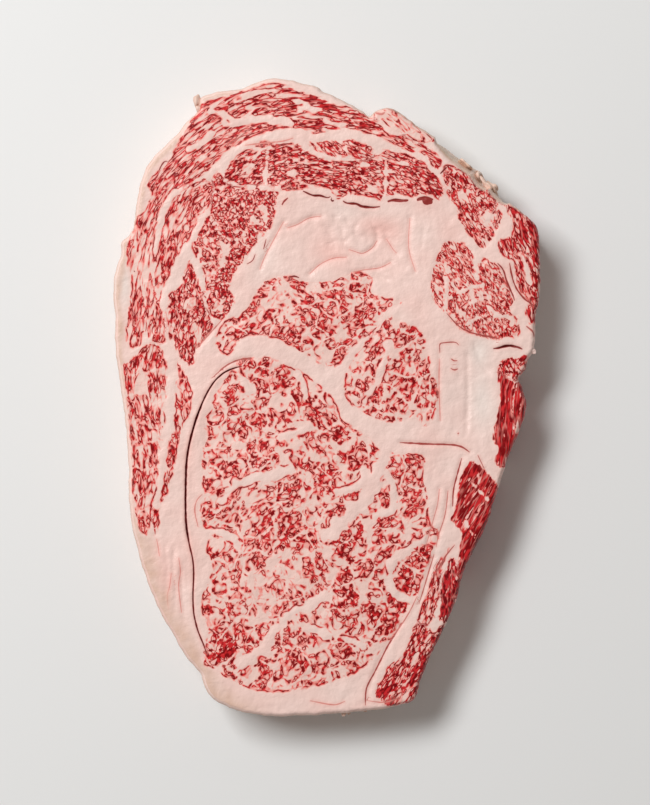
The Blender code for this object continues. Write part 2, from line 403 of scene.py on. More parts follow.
# The outer band over the cap and down the outside, and the flap at its end
muscle([
    (-66, 16.6), (-67.2, 21), (-66.8, 26), (-66.2, 31), (-65.5, 36), (-65.9, 41), (-67, 45),
    (-67, 50), (-65.6, 55), (-64, 60.2), (-61.2, 61.6), (-60, 65), (-58.6, 68.6), (-60.6, 71.2),
    (-57, 75.2), (-53, 78.2), (-51.5, 81.4), (-50, 84.6), (-48, 88.6), (-46.2, 91.6), (-44.6, 94.8),
    (-42, 98), (-37, 99.9), (-31, 101.4), (-25, 103), (-20, 105), (-14, 104.2), (-9, 102),
    (-4, 100.8), (-1, 98.8), (3, 97.5), (9, 96.5), (13.5, 93.7), (17.6, 91.2), (19.8, 88.3),
    (23, 87.1), (26.4, 87.5), (28.8, 85), (32, 84.3), (35.8, 81.8), (38, 79.8), (37.3, 76.1),
    (34.6, 77.3), (33, 80.3), (28.5, 81.5), (24, 83.1), (19, 85.7), (14, 87.7), (9, 89.1),
    (4, 89.6), (0, 88.7), (-4, 87.8), (-9, 89.2), (-14, 89.8), (-18, 89), (-24, 87), (-29, 84.5),
    (-33.5, 81.7), (-37, 78.7), (-40.2, 75), (-44, 72.2), (-48, 70.4), (-52, 68), (-54.8, 64.6),
    (-56.4, 60), (-57.4, 54), (-57.8, 48), (-57.6, 42), (-57, 36), (-56, 31.5), (-54.4, 27),
    (-53.8, 21), (-54.6, 18.2), (-58.6, 18.6), (-61, 22), (-62.6, 17),
], 2.3, 3.4, None, 0.16, 0.3)
muscle([
    (15.3, 96.8), (20, 97.2), (25, 94.8), (29, 92.2), (33.8, 88.4), (35.8, 85.4), (31, 84.6),
    (26, 87.2), (22, 88.8), (19, 91.3), (15.6, 93.4),
], 2.4, 3, 135, 0.06, 0.1)
muscle([
    (-68.2, 10.6), (-66, 12.2), (-63.4, 14.9), (-60.4, 17.6), (-57, 18), (-54.4, 15), (-53.7, 10),
    (-53.7, 3), (-54, -3), (-53.6, -8.8), (-54.8, -14.6), (-55.4, -20), (-55.3, -26), (-56.7, -31),
    (-58.4, -37), (-59.2, -44), (-61, -46.4), (-63.2, -42.6), (-64.6, -37), (-65.2, -30),
    (-65.3, -22), (-65.7, -14), (-66.3, -6), (-67.2, 1), (-67.7, 6),
], 2.8, 2.6, None, 0.158, 0.22)
muscle([
    (-50.2, 12.6), (-47.3, 7.6), (-45.1, 2), (-45.7, -4), (-47.8, -9.6), (-49.6, -15),
    (-50.5, -20.6), (-52.3, -28), (-53.8, -33), (-55.8, -38), (-56.9, -46.8), (-58.6, -42),
    (-57.3, -34), (-55.5, -28), (-54.2, -21), (-52.8, -15), (-51.2, -9), (-50.8, -3), (-50.3, 3),
], 2.6, 2.6, None, 0.158, 0.22)
# The finely marbled muscles at the right
muscle([
    (34.2, 36), (34.8, 33), (37.3, 30), (39.8, 27.8), (41.6, 25.3), (44.3, 22.7), (49, 20.7),
    (54, 19.7), (57, 19), (60, 20.2), (63.6, 20), (64, 24), (63, 27.6), (61.4, 28.6), (61.8, 33),
    (60.4, 37), (59, 39), (57.8, 42.2), (55.5, 44.9), (52.6, 46.6), (50.4, 44.8), (50.1, 41),
    (48.8, 44), (48.4, 48), (46, 51.1), (42.6, 52.3), (39, 51.5), (37, 48.2), (36.1, 45.6),
    (35, 41.4),
], 2.2, 1.8, 118, 0.16, 0.25)
muscle([
    (39.2, 77.8), (43, 77), (47, 75), (50, 73.2), (51.5, 70.8), (53.7, 69.6), (57.2, 67.6),
    (57.3, 64.2), (55.6, 62.2), (52, 60.9), (52.8, 58.4), (55.2, 56.8), (55.5, 53.4), (53.5, 51.3),
    (51, 49.6), (48.7, 52.8), (46.3, 55.4), (44.1, 58.5), (43.1, 63), (40.7, 66), (39.3, 70.4),
    (38.5, 74),
], 2.2, 1.8, 125, 0.19, 0.45)
muscle([
    (55.1, 61.6), (57, 63.2), (58.2, 60), (57.6, 57.4), (56, 56), (54.8, 58),
], 2, 1.8, 100, 0.19, 0.4)
muscle([
    (57.4, 68.2), (60, 67.2), (63, 64.3), (67, 61.2), (71, 57.8), (72.4, 50), (72.8, 42),
    (72.4, 34), (71.4, 28), (70, 24.4), (67.2, 24.6), (65.8, 28.6), (66.6, 32), (64.2, 35.6),
    (62.8, 40), (62.2, 45), (59.2, 46.4), (57.1, 49.4), (57.4, 52.8), (60.6, 53.2), (61.8, 57),
    (60.4, 61), (58.4, 64.4),
], 2.1, 3.4, 105, 0.22, 0.5)
# The dark muscles along the right edge, mostly lean
muscle([
    (57, 11), (59.4, 12.6), (61.6, 13.4), (64, 12.8), (66.4, 14.4), (67.6, 10.6), (66, 7.2),
    (63, 5.3), (60.6, 6.7), (57.4, 7.8),
], 2.6, 1.8, 100, 0.24, 0.5)
muscle([
    (57, 9), (59.6, 6.6), (62, 5.2), (65, 4), (67.4, -0.6), (67, -5), (65.4, -11), (63, -16.8),
    (61, -21.8), (58.8, -23.6), (56, -21.2), (57.3, -17.4), (55.8, -14), (56.4, -9), (57, -4),
    (57.3, 1), (57.1, 5),
], 2.4, 5, 78, 0.42, 0.45)
muscle([
    (45.4, -24.6), (48.2, -21.7), (50.5, -22.8), (53.8, -25.8), (57, -31.2), (55.4, -37),
    (53.6, -44), (51, -49), (48.6, -54), (46, -60), (44, -62.6), (43.4, -57), (44.3, -51),
    (44.4, -44), (41.6, -41), (43.3, -35), (44.1, -29),
], 2.6, 4.4, 68, 0.40, 0.4)
muscle([
    (41, -53.6), (43.2, -55.8), (44.2, -61), (43.8, -66), (42.2, -70.6), (39.8, -75), (37.4, -73.2),
    (38.1, -68), (37.7, -64), (38.3, -60), (39.8, -56.8),
], 2.2, 2.6, 75, 0.38, 1)
muscle([
    (40.6, -50), (38.4, -56.8), (37.5, -62), (37.2, -67), (35.8, -71.8), (33.5, -76), (29.8, -75.2),
    (31.3, -70), (33.3, -65), (34.7, -60), (36.7, -55),
], 2.1, 3, 68, 0.2, 0.5)
muscle([
    (29.4, -75), (33, -75.6), (35.4, -78.4), (38.2, -75.6), (39.2, -77.6), (36.8, -84), (34, -88),
    (31.8, -95), (29.6, -101.2), (24, -102.8), (20, -103), (16.8, -100.2), (16.2, -97), (18.7, -93),
    (20.7, -89), (25.3, -86), (27.1, -81),
], 2.3, 2.4, 60, 0.26, 0.6)

# ------------
# The fat seams inside the muscles, where soft fat has gathered between the bundles. They part
# the lean all the way through the slice.

# Each is its line and half its width
SEAMS = [
    ([(-35, -34.5), (-31.5, -30), (-27, -27.5), (-20, -26.5), (-12.5, -24)], 1.5),
    ([(19, -12), (18.5, -20), (17, -26.5), (14, -32), (9, -37.5), (4, -42), (1.5, -46)], 2.1),
    ([(18.6, -24), (22, -30), (21.8, -37.5), (16, -39.4)], 0.9),
    ([(32.5, -47), (27, -50.8), (22, -54.6), (20.6, -60), (21.4, -64.6), (27.6, -68)], 1.3),
    ([(-1, -66), (-6, -69), (-12, -72), (-17, -77), (-22, -84), (-28, -88)], 1.6),
    ([(-42, -45), (-37, -44.6), (-32, -46.5), (-30, -50)], 1),
    ([(-11, 10), (-8, 4), (-6.5, -1)], 1.2),
    ([(-15, -12.6), (-10, -11.6), (-5.5, -9.5)], 1),
    ([(12, -24), (12, -27.6), (8, -30.6), (3, -31)], 0.9),
    ([(-6, -77), (1, -79), (7, -80.5), (12, -83)], 0.9),
    ([(-30, 9), (-28, 5.5), (-26, 2)], 1.2),
    ([(20.6, 18), (18.4, 10), (16, 4), (12.5, -1)], 1),
    ([(-39, 95.6), (-35, 94.6), (-32, 92.6)], 0.8),
    ([(-34, 90.8), (-28, 92), (-22, 92.7), (-16, 92.6), (-12, 91.2)], 1.2),
    ([(-46, 83), (-42, 84.4), (-38.5, 88)], 0.7),
    ([(-9.5, 96.5), (-5.5, 95.8), (-2.5, 95.8)], 0.8),
    ([(-10.5, 98.6), (-8, 98.2), (-6.6, 97)], 0.6),
    ([(-1, 92.6), (3, 90.6), (8, 91.6)], 0.5),
    ([(-50.5, 68.4), (-54, 63.6), (-56, 57.6), (-57, 50)], 0.6),
    ([(19.4, 79), (19.5, 73), (19.2, 66)], 0.3),
    ([(28.9, 72), (28.9, 66)], 0.2),
    ([(18.5, 79.6), (23, 78.4), (28, 77.6)], 0.25),
    ([(-34, 72.5), (-29, 70.6), (-23, 70.2), (-16, 69.4)], 0.4),
    ([(-19.6, 85), (-20, 80), (-20.6, 75), (-20.4, 71)], 0.4),
    ([(-20.4, 84), (-23.4, 81), (-26.4, 79.4)], 0.4),
    ([(-7, 83.2), (-3, 81.2), (1, 80), (6, 79.5), (10, 78.7), (13.4, 77.4)], 0.5),
    ([(-52.4, 18), (-52.3, 8), (-52.4, 0), (-52.7, -8), (-54.2, -14), (-55, -21), (-55.6, -28),
      (-57.4, -36)], 0.9),
    ([(40.4, 33), (44, 34.9), (49, 36.9), (52, 37.6)], 0.4),
    ([(39.6, 39.6), (39.6, 35), (39.4, 30)], 0.5),
    ([(49.2, 48), (49.4, 43), (49.8, 39.6)], 0.5),
    ([(54, 29.8), (57, 27.6), (60.6, 26.6)], 0.5),
    ([(42, 27.4), (46, 30.4), (50, 32.8), (54.3, 33.3)], 0.25),
    ([(46.8, 24.7), (52.2, 27.4), (56.5, 27.4)], 0.2),
    ([(66, 60.6), (66.3, 56)], 0.35),
    ([(64.4, 48), (66, 44), (67.6, 38)], 0.5),
    ([(47.2, -27.4), (49.8, -30.2), (51.4, -32), (53.4, -34)], 0.55),
    ([(50.4, -24.6), (50.4, -28), (51.2, -31)], 0.2),
    ([(45.6, -40.6), (48, -45), (49.6, -49)], 0.2),
    ([(62.4, 3), (61.6, -4), (62, -10)], 0.15),
    ([(64.6, 1), (64, -6), (63, -12)], 0.15),
    ([(37.2, -71), (37, -74.6), (35.6, -77.6)], 0.5),
]
seam_width = 1 + 1.2 * lumps(plan, 3.5, 9)
for points, half in SEAMS:
    line = curve(points, 1)
    near = close_to(plan, line, REACH)
    gap = np.abs(line_distance(plan[near], line)[0]) - half * seam_width[near]
    lean[near] = np.minimum(lean[near], gap)


def patches(places, marks):
    """The sum at each place of soft oval patches. Each is its centre, half-widths and amount."""
    total = np.zeros(len(places))
    for centre, half, amount in marks:
        total += amount * np.exp(-(((places - centre) / half) ** 2).sum(1))
    return total


# Pale pockets, and above nought dense knots of lean
POCKETS = [
    ((-12, -60), (4.5, 3), -0.2), ((-21, -66), (3.5, 3), -0.16), ((-22, -73.5), (4, 2.2), -0.2),
    ((-26, 0), (2.5, 3), -0.14), ((9, -28), (3, 2), -0.2), ((-35, -30), (6, 12), -0.03),
    ((-15, 33), (5.5, 2.4), -0.16), ((26, -3), (4.5, 1.5), -0.14), ((-37, -60), (4, 14), -0.03),
    ((2, -77), (4, 2), -0.14), ((-26, -62), (3, 2.5), -0.12), ((-4, -40), (3, 3), -0.12),
    ((-37, -86), (4, 3), 0.14), ((-31, -83), (4, 4), 0.1), ((22, -69), (4, 4), 0.2),
    ((16, -72), (3, 5), 0.1), ((7, -67), (3, 3.5), 0.12), ((-2, -27), (4, 3), 0.1),
    ((3, -49.5), (6, 1.6), 0.12), ((27.6, -62), (2.5, 4), 0.12), ((31, -52), (3, 2.5), 0.1),
    ((10, -44), (5, 3), 0.07), ((-22, 5), (3, 5), 0.08), ((4, -13), (4, 2.5), 0.08),
    ((-14, -46), (2.5, 3), 0.08), ((-3, 99), (5, 2), 0.2), ((2, 96), (4, 1.6), 0.16),
    ((9, 93.6), (2.5, 1.6), 0.16), ((12.5, 90), (4, 1.3), 0.2), ((-3, 90.2), (3, 1.3), 0.16),
    ((31.5, 82.6), (3.5, 1.6), 0.16), ((-33, 74), (2, 4), 0.1), ((35, 72), (2.5, 5), 0.14),
    ((24, 71), (4, 4), -0.03), ((-46, 31), (2.6, 3), -0.2), ((-46, 40), (2, 3), 0.12),
    ((-41.5, 24), (2.4, 2), 0.14), ((-36, 30), (2, 2), -0.16), ((-36, 35), (2, 3), 0.1),
    ((51.5, 33), (2.6, 2.4), -0.14), ((38.6, 43.4), (1.6, 2), -0.14), ((54, 29), (3, 2), 0.07),
    ((44.6, 67), (1.4, 1.8), -0.3), ((43.6, 72.6), (3, 2), 0.08), ((69.4, 53), (2, 5), 0.25),
    ((65, 55), (1.4, 2.6), 0.2), ((64, 60), (2.4, 3), 0.1), ((67, 40), (1.2, 5), -0.1),
    ((-57, -2), (2.6, 2), -0.25), ((-57, -12.5), (2.4, 2), -0.2), ((-61, 42), (5, 20), -0.09),
    ((-40, 54), (6, 14), -0.05), ((-12, 96.5), (16, 4), 0.05), ((45, 38), (9, 12), -0.03),
    ((15, 73), (14, 5), -0.03), ((34.6, -80), (1.4, 3), -0.16), ((25, -97), (4, 2), -0.06),
]
strand += patches(plan, POCKETS)

# Pinker patches of the fat, and below nought whiter ones. The three whitest, at the right and by
# the left rim, are partly the fat's own pale colour and partly painted sheen.
TINTS_AND_SHEEN = [
    ((51.6, -2), (4.5, 11), -0.8), ((50.4, 15), (3.5, 5), -0.8), ((41, 2), (4, 14), -0.3),
    ((17, 57), (6, 4), 0.5), ((-55, -62), (4, 16), 0.35), ((4, 48), (7, 4), 0.3),
    ((-68, 38), (3, 8), -0.8), ((38, -58), (5, 12), -0.3), ((-46, -20), (3, 26), 0.25),
    ((10, 62), (12, 3), -0.3), ((-20, 46), (5, 6), -0.3), ((60, 42), (2.5, 5), 0.3),
]
fat_tint_and_sheen = 0.3 * lumps(plan, 9, 8) + patches(plan, TINTS_AND_SHEEN)

# The outer side of the slice is closed by a thin tough skin: 0.5 where it is moist, and 1 where
# it has dried beige, at the upper right. The right side was trimmed and shows bare lean.
sideways = ~on_face & (steak[:, 2] > 0.3)
skin = sideways * ramp(deep, 0.3, 1.6)
skin = skin * np.maximum(ramp(plan[:, 0], 26, 20), ramp(plan[:, 1], 59, 66))
skin = skin * (0.5 + 0.5 * ramp(plan[:, 0], 16, 36))

# The fat next to the left rim is creamy too, in a strip that widens towards the blunt end
FADE = 9
flat = steak[:, :2]
from_rim = np.clip(depth_inside(flat, rim, FADE), 0, FADE)
cream_width = 2.4 + 4 * ramp(flat[:, 1], 0, -30)
creamy = ramp(from_rim + lumps(flat, 5, 12), cream_width, 0.2) * ramp(flat[:, 0], -16, -34)
skin = np.where(sideways, skin, 0.45 * creamy * ramp(lean, 0.2, -0.6))

# ------------
# Vessels and thin threads of lean that cross the fat, from faint pink to nearly black. They are
# stains in the cut face. The openings are coloured the same way, and there the dark colour is
# painted shade of the gap.

# Each is its line, half its width, and its colour: 0 for faint red, 1 for nearly black. Some
# lie in a crease, and give its half-width and depth too.
THREADS = [
    ([(15.4, 95.6), (16.6, 94.8), (18.2, 94.4), (19.2, 95.2)], 0.45, 0.12),
    ([(19.4, 96.6), (20.8, 96.2), (22, 95.4)], 0.3, 0.12),
    ([(-28, 84), (-22, 84.7), (-15, 85.4), (-11, 86.6)], 0.18, 0),
    ([(-26, 89.4), (-31, 85.6), (-34, 84.2)], 0.14, 0.3),
    ([(-13.8, 56.4), (-10, 57.7), (-6, 59.9), (-1.7, 60.5)], 0.08, 0.1, (0.8, 0.4)),
    ([(-6.2, 41), (-2.3, 44.5), (2.2, 46.5), (6.7, 46.8)], 0.09, 0.1, (0.8, 0.35)),
    ([(7.9, 41.7), (12.4, 42.6), (17.5, 43.3), (21.4, 45.2)], 0.09, 0.1, (0.8, 0.35)),
    ([(7, 49.4), (9.2, 48.7), (11.8, 48.1), (15, 50), (16.6, 52.5)], 0.08, 0.15),
    ([(27.5, 60), (27.1, 50), (29.4, 41.7)], 0.06, 0, (0.8, 0.35)),
    ([(-22.6, 42.6), (-20.8, 47.1), (-16.4, 55.4), (-14.5, 58.9)], 0.07, 0, (0.9, 0.35)),
    ([(19.5, 53.2), (22, 49.3), (23.3, 48)], 0.06, 0.1, (0.7, 0.3)),
    ([(37.3, 13), (37.2, 4), (37.6, -8)], 0.12, 0),
    ([(-21.4, 49), (-21, 50.6), (-20.4, 53)], 0.14, 0.6),
    ([(-24, 48), (-25, 45.6), (-27, 44.4)], 0.14, 0.6),
    ([(-13.4, 40), (-11, 40.4), (-9, 39.7)], 0.24, 0.7),
    ([(-15.4, 63.8), (-14.4, 65.4), (-13, 66.6)], 0.3, 0.55),
    ([(-13.6, 69.4), (-12.6, 70), (-11.8, 69.2)], 0.2, 0.7),
    ([(1.2, 65.5), (1.8, 65.6), (2.4, 65.4)], 0.28, 0.8),
    ([(37.4, 74.4), (38.6, 75.6), (40, 77)], 0.34, 0.75),
    ([(34.6, 86), (35.2, 86)], 0.3, 0.7),
    ([(-64.6, 42), (-64, 42.2)], 0.4, 0.75),
    ([(-56.2, 75.4), (-55.2, 77.6), (-54, 78.8), (-53.2, 78.4)], 0.22, 0.65),
    ([(-44, 16), (-39.5, 21), (-35, 26)], 0.15, 0.2, (0.7, 0.25)),
    ([(-38.5, 6.4), (-34, 10.4), (-30, 12.4), (-25, 13.4)], 0.18, 0.35, (0.6, 0.25)),
    ([(-43, -43.6), (-44.2, -38), (-43.6, -34.4), (-41.5, -32)], 0.14, 0.1),
    ([(37.5, 14.6), (37.4, 17.6), (38.4, 18.2), (42.6, 18.4), (44, 17)], 0.16, 0.4),
    ([(41, 13.2), (42.2, 12.2), (43.6, 12.4)], 0.2, 0.3),
    ([(41, 9.8), (42.2, 9.2), (43.6, 9.6)], 0.24, 0.3),
    ([(43.2, -12), (44, -12)], 0.4, 0.25),
    ([(24, -15), (33, -15.5), (40, -15.7), (44.4, -16.3), (47.6, -18.4)], 0.26, 0.45, (0.7, 0.35)),
    ([(44.8, -20), (44, -23), (42.9, -27), (42, -31), (41.7, -36.6)], 0.2, 0.5, (0.7, 0.4)),
    ([(50, -19), (51.2, -21.6), (52.4, -24)], 0.14, 0.35),
    ([(56.4, 45), (58.6, 42.4), (59.8, 38.6), (61.8, 34), (62.4, 32)], 0.26, 0.56),
    ([(69.2, 30.4), (66, 32.6), (63.2, 36), (61.6, 40), (60.6, 45)], 0.24, 0.5),
    ([(39.6, 28.2), (44, 23.6), (49, 21.3), (54, 20.3), (57.4, 19.4)], 0.18, 0.45),
    ([(-57, -47), (-56.4, -50), (-56, -53)], 0.12, 0),
    ([(-52, -58), (-52.6, -63), (-53.4, -66), (-53, -71)], 0.1, 0),
    ([(-49.6, -53), (-49, -58), (-49.6, -63), (-48.6, -72)], 0.1, 0),
    ([(24.6, -75), (22.5, -79), (20, -83), (18, -87), (15.5, -92), (13, -97), (12.6, -103)],
     0.22, 0.45),
    ([(35.6, -52), (33.8, -58), (32, -64), (30.4, -69)], 0.16, 0.3, (0.7, 0.35)),
    ([(42.5, -49), (40, -52), (37.5, -56), (35.5, -60)], 0.2, 0.35),
    ([(37.4, -30), (36.6, -36), (35.2, -41), (32.8, -49.7)], 0.09, 0.1, (0.7, 0.25)),
    ([(36.2, -50), (37, -46), (39.2, -39), (40.2, -31)], 0.12, 0.2, (0.7, 0.3)),
    ([(30, -66), (27, -72), (22, -80)], 0.14, 0.2),
    ([(66, 24), (68.4, 22), (69.2, 19.8)], 0.3, 0.35),
    ([(24, -100), (19, -101.6), (13, -101)], 0.12, 0.1),
    ([(-6, -101), (2, -102.4), (6, -101.2)], 0.16, 0.05),
]
THREAD_STEP = 0.7
TAPER = 4
BLUSH = 1.3
FAR = 3.0
thread_gap = np.full(len(steak), FAR)
thread_half = np.full(len(steak), -FAR)
thread_and_gap_shade_tone = np.zeros(len(steak))


def from_ends(line, along):
    """How far each place lies from the nearer end of a line."""
    length = np.linalg.norm(np.diff(line, axis=0), axis=1).sum()
    return np.minimum(along, length - along), length


def draw_thread_and_gap_shade(line, half, tone, uneven=0.7):
    """Lays a thread over the slice, tapering towards its ends. Openings are laid the same way, as
    painted shade of the gap.
    """
    near = np.flatnonzero(close_to(plan, line, FAR))
    gap, along = line_distance(plan[near], line)
    left, length = from_ends(line, along)
    width = half * np.clip(left / min(TAPER, length / 2), 0, 1) ** 0.5
    width *= 1 + uneven * lumps(plan[near], 1.5, 3)
    width = np.where(left < 1e-6, -1.0, width) - 0.02
    closer = (width - np.abs(gap)) > (thread_half - np.abs(thread_gap))[near]
    closer &= np.abs(gap) < half + BLUSH
    chosen = near[closer]
    thread_gap[chosen] = gap[closer]
    thread_half[chosen] = width[closer]
    thread_and_gap_shade_tone[chosen] = tone


for points, half, tone, *_ in THREADS:
    draw_thread_and_gap_shade(curve(points, THREAD_STEP), half, tone)
# The openings get the same dark colour, as painted shade deep in each gap
for line, half, depth, dark in openings:
    draw_thread_and_gap_shade(line, half + 0.1, dark, 0.5)

# ------------
# The lie of the cut face: it swells over the firm muscles and sinks at the soft fat, and the
# big fat pad above the eye is creased. The openings are cut down into it.

# Swellings and hollows
SWELLINGS = [
    ((-8, -45), (30, 46), 0.9), ((0, 26), (30, 12), 0.4), ((-38, 60), (14, 26), 0.3),
    ((50, 36), (12, 14), 0.5), ((8, 53), (24, 11), -0.8), ((46, 2), (10, 14), -0.9),
]
# Creases: line, half-width and depth. More of them lie under threads.
CREASES = [
    ([(7, 49.4), (9.2, 48.7), (11.8, 48.1), (15, 50), (16.6, 52.5), (16.6, 56)], 0.8, 0.5),
    ([(9, 57), (9.4, 54.5), (11.4, 53.4)], 0.7, 0.35),
    ([(0.6, 51.2), (3, 52.3), (5.6, 52)], 0.6, 0.3),
    ([(2.4, 59.6), (4.6, 57), (5.2, 54)], 0.8, 0.35),
    ([(-2, 62), (0.4, 60.4), (3, 60.4)], 0.5, 0.16), ([(4, 63), (6, 61), (6.8, 58.4)], 0.6, 0.25),
    ([(9, 62), (10.4, 60), (10, 57.6)], 0.5, 0.16), ([(12, 61), (14.4, 59), (16, 56)], 0.6, 0.2),
    ([(-2, 57), (0.4, 55.8), (1.4, 53.6)], 0.5, 0.2), ([(13, 55), (13.6, 52.4)], 0.6, 0.16),
    ([(5, 50.4), (5.8, 52.2), (7.4, 53.6)], 0.5, 0.2), ([(18, 57), (20, 55)], 0.6, 0.2),
    ([(16, 41.4), (17.8, 39.8), (20.4, 39.4)], 0.6, 0.3), ([(32, 56), (31.4, 51)], 0.7, 0.25),
    ([(37.3, 15), (37.2, 4), (37.6, -8)], 0.7, 0.25),
    ([(46.6, 14), (46.9, 3.4), (46.5, -10.5)], 0.9, 0.4),
    ([(49, 18), (51, 12), (54, 8)], 0.8, 0.35),
    ([(58.6, 42.4), (59.8, 38.6), (61.8, 34)], 0.6, 0.4),
    ([(61.6, 40), (63.2, 36), (66, 32.6)], 0.6, 0.4),
    ([(24.6, -75), (20, -83), (15.5, -92), (12.6, -103)], 0.8, 0.4),
    ([(-54, -50), (-53.4, -58), (-54.2, -66), (-53, -73)], 0.6, 0.3),
    ([(-51, -50), (-51.4, -57), (-50.6, -64), (-51, -72)], 0.6, 0.3),
    ([(-48.8, -58), (-48.4, -66), (-47.6, -74)], 0.6, 0.3),
]
CRUMPLED_PAD = [((7, 55), (11, 9), 0.2)]
height = patches(flat, SWELLINGS)
height += 0.5 * lumps(flat, 14, 5) + 0.22 * lumps(flat, 4.2, 6)
height += 0.12 * ramp(lean, 0.4, -1.2)
height += patches(flat, CRUMPLED_PAD) * lumps(flat, 2.6, 11)
under_threads = [(points, *crease[0]) for points, _, _, *crease in THREADS if crease]
for points, half, depth in CREASES + under_threads:
    gap = line_distance(flat, curve(points, 1))[0]
    height -= depth * np.exp(-(gap / half) ** 2)
height *= np.clip(from_rim / FADE, 0, 1) ** 0.8
height += 0.12 * lumps(flat, 1.8, 7) * np.clip(from_rim, 0, 1)
# An opening runs out over its last 5 mm, and has a slightly raised lip
for line, half, depth, dark in openings:
    gap, along = line_distance(flat, line)
    left, length = from_ends(line, along)
    cut = ramp(np.abs(gap), half * 1.2, half * 0.35) * ramp(left, 0, 5)
    lip = np.exp(-((np.abs(gap) - half - 0.7) / 0.6) ** 2) * ramp(left, 0, 5)
    height -= depth * cut - 0.1 * lip
steak[:, 2] += np.where(on_face, height, 0)

# ------------
# Scraps of fat and dried skin that the knife has left hanging on the rim: a tab at the upper
# left corner, nubs and a frayed tuft on the skin at the upper right, and shreds along the foot.

# Each is its middle, its half-sizes and its turn about the upright in degrees, and how dried
SCRAPS = [
    ((-43.5, 98.6, 20), (1.3, 2.4, 1.2), 8, 0.45), ((-42.8, 96.2, 20.4), (1.1, 1.4, 0.9), 0, 0.3),
    ((46.4, 78.8, 11), (2.8, 1, 6), -36, 1), ((51.4, 74.6, 10), (1.1, 2.6, 6.4), 24, 0.8),
    ((56.1, 70.4, 11), (1.2, 2.6, 5.6), 36, 0.8), ((53.2, 71.8, 17.4), (2.4, 1, 1.2), -44, 0.7),
    ((-25, -105.2, 17), (1.5, 0.5, 0.6), 8, 0.5), ((5.4, -105.8, 18), (0.8, 0.7, 0.7), 40, 0.5),
    ((7.2, -105.9, 15), (0.4, 0.9, 0.4), 12, 0.5), ((12.4, -104.8, 18), (1.1, 0.45, 0.5), -14, 0.5),
    ((68.8, 15.6, 20.4), (0.8, 1, 0.6), 30, 0),
]
ball = bmesh.new()
bmesh.ops.create_icosphere(ball, subdivisions=3, radius=1)
sphere = np.array([tuple(v.co) for v in ball.verts])
sphere_faces = [[v.index for v in f.verts] for f in ball.faces]
ball.free()
dryness = []
for number, (centre, half, turn, dried) in enumerate(SCRAPS):
    shape = sphere * (1 + 0.8 * lumps(sphere, 1.1, number))[:, None] * half
    angle = math.radians(turn)
    across = shape[:, 0] * math.cos(angle) - shape[:, 1] * math.sin(angle)
    along = shape[:, 0] * math.sin(angle) + shape[:, 1] * math.cos(angle)
    faces += [[i + len(steak) for i in face] for face in sphere_faces]
    shape = np.column_stack([across, along, shape[:, 2]]) + centre
    steak = np.vstack([steak, shape])
    dryness += [dried] * len(sphere)

# ------------
# The slice as one closed mesh, set down where the plain slab of meat lies. What was marked out
# above goes with it, so that the material can draw the marbling.

MM = 0.001
low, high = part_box("steak")
middle = (low + high) / 2
steak[:, 0] += middle.x / MM
steak[:, 1] += middle.y / MM
steak[:, 2] += low.z / MM
slab = bpy.data.meshes.new("marbled_steak")
slab.from_pydata((steak * MM).tolist(), [], faces)
slab.shade_smooth()
slice_ = bpy.data.objects.new("marbled_steak", slab)
bpy.context.scene.collection.objects.link(slice_)

# Each mark over the slice, and its value on the scraps
MARKS = {
    "lean": (lean, -REACH), "strand": (strand, 0.0), "shade": (shade, 0.0),
    "bundle": (bundle, 1.0), "fat_tint_and_sheen": (fat_tint_and_sheen, -0.2), "skin": (skin, dryness),
    "thread_gap": (thread_gap, 9.0), "thread_half": (thread_half, -1.0),
    "thread_and_gap_shade_tone": (thread_and_gap_shade_tone, 0.0),
}
for name, (over_slice, on_scraps) in MARKS.items():
    values = np.append(over_slice, np.broadcast_to(on_scraps, len(dryness)))
    slab.attributes.new(name, "FLOAT", "POINT").data.foreach_set("value", values)
weave = np.vstack([weave, np.zeros((len(dryness), 3))])
slab.attributes.new("weave", "FLOAT_VECTOR", "POINT").data.foreach_set("vector", weave.ravel())

# ------------
# Raw marbled beef, freshly cut with a knife. The lean is wet, soft and crimson, and the fat is a
# duller pinkish white. Patterns in the muscles are sized by the strands of each muscle, 2 to
# 4.2 mm across, and all others by their size in millimetres.

LOBULES = 8.696 * MM
LOBULE_BEND = 11.11 * MM
MUSCLE_BORDER = 2.5 * MM
SKIN_BLOTCHES = 5.263 * MM
FOLDS = 4.167 * MM
# The real grain of the fat is about 0.3 mm, too fine to show, so it is drawn at 1.1 mm
GRAIN = 1.111 * MM
RELIEF = 0.35 * MM


def linear(code):
    """An sRGB hex colour as the linear RGBA that shaders take."""
    parts = [int(code[i:i + 2], 16) / 255 for i in (1, 3, 5)]
    return [*(c / 12.92 if c <= 0.04045 else ((c + 0.055) / 1.055) ** 2.4 for c in parts), 1.0]


def add(kind, links=(), **settings):
    """Adds a shader node with its settings, and fills its inputs with values, hex colours or
    other nodes."""
    made = tree.nodes.new("ShaderNode" + kind)
    for name, value in settings.items():
        setattr(made, name, value)
    for key, value in links.items() if isinstance(links, dict) else enumerate(links):
        if isinstance(value, str):
            value = linear(value)
        if isinstance(value, bpy.types.Node):
            value = next(output for output in value.outputs if output.enabled)
        if isinstance(value, bpy.types.NodeSocket):
            tree.links.new(value, made.inputs[key])
        else:
            made.inputs[key].default_value = value
    return made


beef = bpy.data.materials.new("raw_marbled_beef")
beef.use_nodes = True
tree = beef.node_tree
tree.nodes.clear()

place = add("TexCoord").outputs["Object"]
mark = {name: add("Attribute", attribute_name=name).outputs["Fac"] for name in MARKS}
fibres = add("Attribute", attribute_name="weave").outputs["Vector"]

